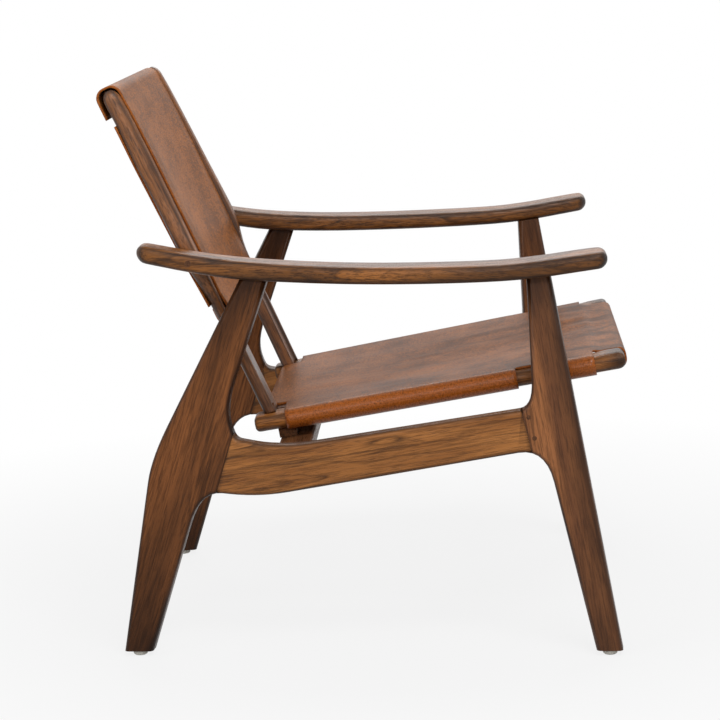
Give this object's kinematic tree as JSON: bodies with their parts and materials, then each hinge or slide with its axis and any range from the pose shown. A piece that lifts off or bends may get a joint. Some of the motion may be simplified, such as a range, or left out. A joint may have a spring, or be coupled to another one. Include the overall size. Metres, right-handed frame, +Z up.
{
  "type": "leather sling lounge chair",
  "caption": "Wood lounge chair with a leather sling seat and back, splayed side frames and paddle armrests.",
  "frame": {"origin": "on the floor, under the middle of the chair's bounding box", "axes": "+X towards the sitter's front, +Y towards the sitter's left, +Z up; right in a node's name is the sitter's right, at -Y"},
  "size_m": [0.7722, 0.7236, 0.8525],
  "materials": {
    "walnut": "oiled, satin",
    "rail_walnut": "oiled, satin",
    "leather": "waxed saddle leather, half gloss",
    "glide_nylon": "matte",
    "bolt_steel": "zinc plated"
  },
  "bodies": {
    "root": {"right_rear_leg": "walnut", "right_front_leg": "walnut", "right_side_rail": "rail_walnut", "right_upper_joint_peg": "walnut", "right_lower_joint_peg": "walnut", "left_rear_leg": "walnut", "left_front_leg": "walnut", "left_side_rail": "rail_walnut", "left_upper_joint_peg": "walnut", "left_lower_joint_peg": "walnut", "right_armrest": "walnut", "left_armrest": "walnut", "right_arm_bolt": "bolt_steel", "left_arm_bolt": "bolt_steel", "right_arm_plug": "walnut", "left_arm_plug": "walnut", "right_seat_side_rail": "walnut", "left_seat_side_rail": "walnut", "rear_stretcher": "walnut", "front_stretcher": "walnut", "right_rear_seat_block": "walnut", "left_rear_seat_block": "walnut", "right_front_seat_block": "walnut", "left_front_seat_block": "walnut", "right_rear_seat_bolt": "bolt_steel", "left_rear_seat_bolt": "bolt_steel", "right_front_seat_bolt": "bolt_steel", "left_front_seat_bolt": "bolt_steel", "right_stile_dowel": "walnut", "left_stile_dowel": "walnut", "seat_rear_rail": "walnut", "seat_front_rail": "walnut", "seat_sling": "leather", "right_back_stile": "walnut", "left_back_stile": "walnut", "back_bottom_rail": "walnut", "back_top_rail": "walnut", "back_sling": "leather", "back_rear_panel": "leather", "right_rear_glide": "glide_nylon", "left_rear_glide": "glide_nylon", "right_front_glide": "glide_nylon", "left_front_glide": "glide_nylon"}
  },
  "joints": []
}
